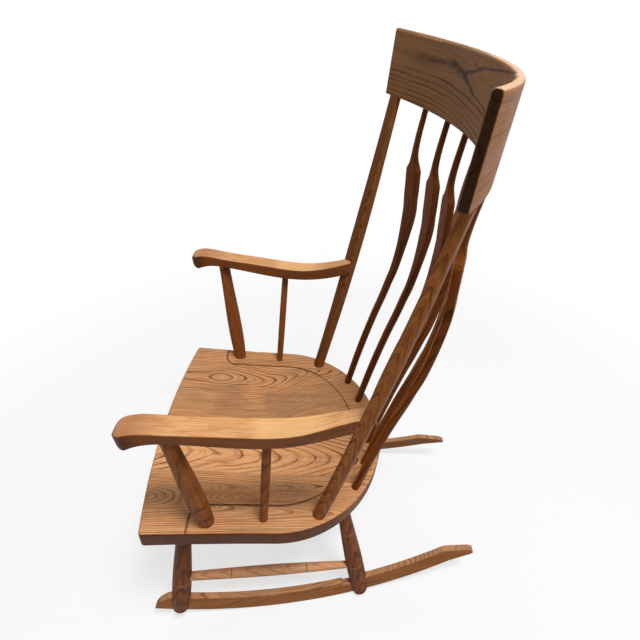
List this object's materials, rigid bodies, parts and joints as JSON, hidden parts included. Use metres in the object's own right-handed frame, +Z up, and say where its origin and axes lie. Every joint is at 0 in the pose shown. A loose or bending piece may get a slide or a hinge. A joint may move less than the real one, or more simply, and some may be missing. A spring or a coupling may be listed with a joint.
{
  "type": "hickory rocking chair",
  "caption": "Wooden rocking chair with a saddled plank seat, arrow spindles under a bent crest rail, curved arms and turned legs on sawn rockers.",
  "frame": {"origin": "on the floor, under the middle of the chair's bounding box", "axes": "+X towards the sitter's left, the front of the chair faces -Y, +Z up; the rockers touch the floor at z = 0"},
  "size_m": [0.581, 0.765, 1.1481],
  "materials": {
    "seat_wood": "satin lacquer over orange-tan stained wood with dark growth lines",
    "crest_wood": "satin lacquer over greyish brown stained wood",
    "post_wood": "satin lacquer over dark reddish-brown stained wood",
    "spindle_wood": "satin lacquer over dark reddish-brown stained wood",
    "arm_wood": "satin lacquer over golden tan stained wood",
    "arm_support_wood": "satin lacquer over dark reddish-brown stained wood",
    "leg_wood": "satin lacquer over dark reddish-brown stained wood",
    "stretcher_wood": "satin lacquer over tan stained wood",
    "rocker_wood": "satin lacquer over brown stained wood",
    "pin_wood": "lacquered dowel end grain"
  },
  "bodies": {
    "root": {"back_spindle_1": "spindle_wood", "back_spindle_2": "spindle_wood", "back_spindle_3": "spindle_wood", "back_spindle_4": "spindle_wood", "back_spindle_5": "spindle_wood", "back_spindle_6": "spindle_wood", "crest_rail": "crest_wood", "front_cross_stretcher": "stretcher_wood", "front_left_leg": "leg_wood", "front_left_rocker_pin": "pin_wood", "front_right_leg": "leg_wood", "front_right_rocker_pin": "pin_wood", "left_arm": "arm_wood", "left_arm_post": "arm_support_wood", "left_arm_spindle": "arm_support_wood", "left_back_post": "post_wood", "left_rocker": "rocker_wood", "left_side_stretcher": "stretcher_wood", "rear_cross_stretcher": "stretcher_wood", "rear_left_leg": "leg_wood", "rear_left_rocker_pin": "pin_wood", "rear_right_leg": "leg_wood", "rear_right_rocker_pin": "pin_wood", "right_arm": "arm_wood", "right_arm_post": "arm_support_wood", "right_arm_spindle": "arm_support_wood", "right_back_post": "post_wood", "right_rocker": "rocker_wood", "right_side_stretcher": "stretcher_wood", "seat_board_1": "seat_wood", "seat_board_2": "seat_wood", "seat_board_3": "seat_wood", "seat_board_4": "seat_wood", "seat_board_5": "seat_wood"}
  },
  "joints": []
}
